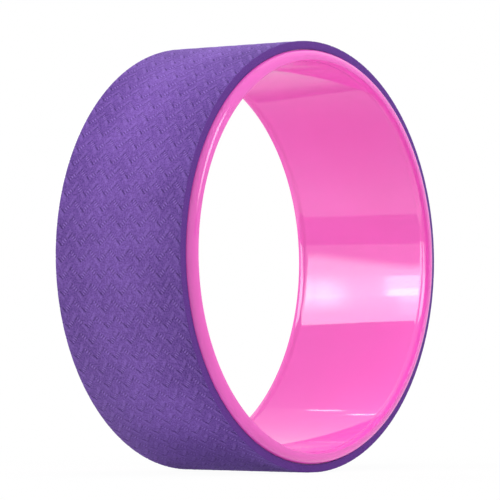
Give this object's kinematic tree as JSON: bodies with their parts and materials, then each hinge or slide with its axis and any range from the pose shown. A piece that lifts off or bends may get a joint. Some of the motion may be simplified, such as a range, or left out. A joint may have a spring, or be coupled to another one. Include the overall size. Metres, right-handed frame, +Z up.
{
  "type": "yoga wheel",
  "caption": "Short wide yoga wheel: a plastic tube with a rounded rim ring in each end and an embossed foam pad round the outside, for rolling and stretching the back.",
  "frame": {"origin": "centre of the wheel, on its axle line and midway between its two rims", "axes": "+Y along the axle line from the front rim to the rear rim, +Z up from the floor contact through the centre"},
  "size_m": [0.33, 0.13, 0.3297],
  "materials": {
    "tube_plastic": "gloss",
    "rim_plastic": "gloss",
    "pad_foam": "matte",
    "glue": "satin",
    "seam_glue": "matte"
  },
  "bodies": {
    "root": {"core_tube": "tube_plastic", "front_rim_ring": "rim_plastic", "rear_rim_ring": "rim_plastic", "front_rim_glue": "glue", "rear_rim_glue": "glue", "pad_adhesive": "glue", "foam_pad": "pad_foam", "pad_seam_glue": "seam_glue"}
  },
  "joints": []
}
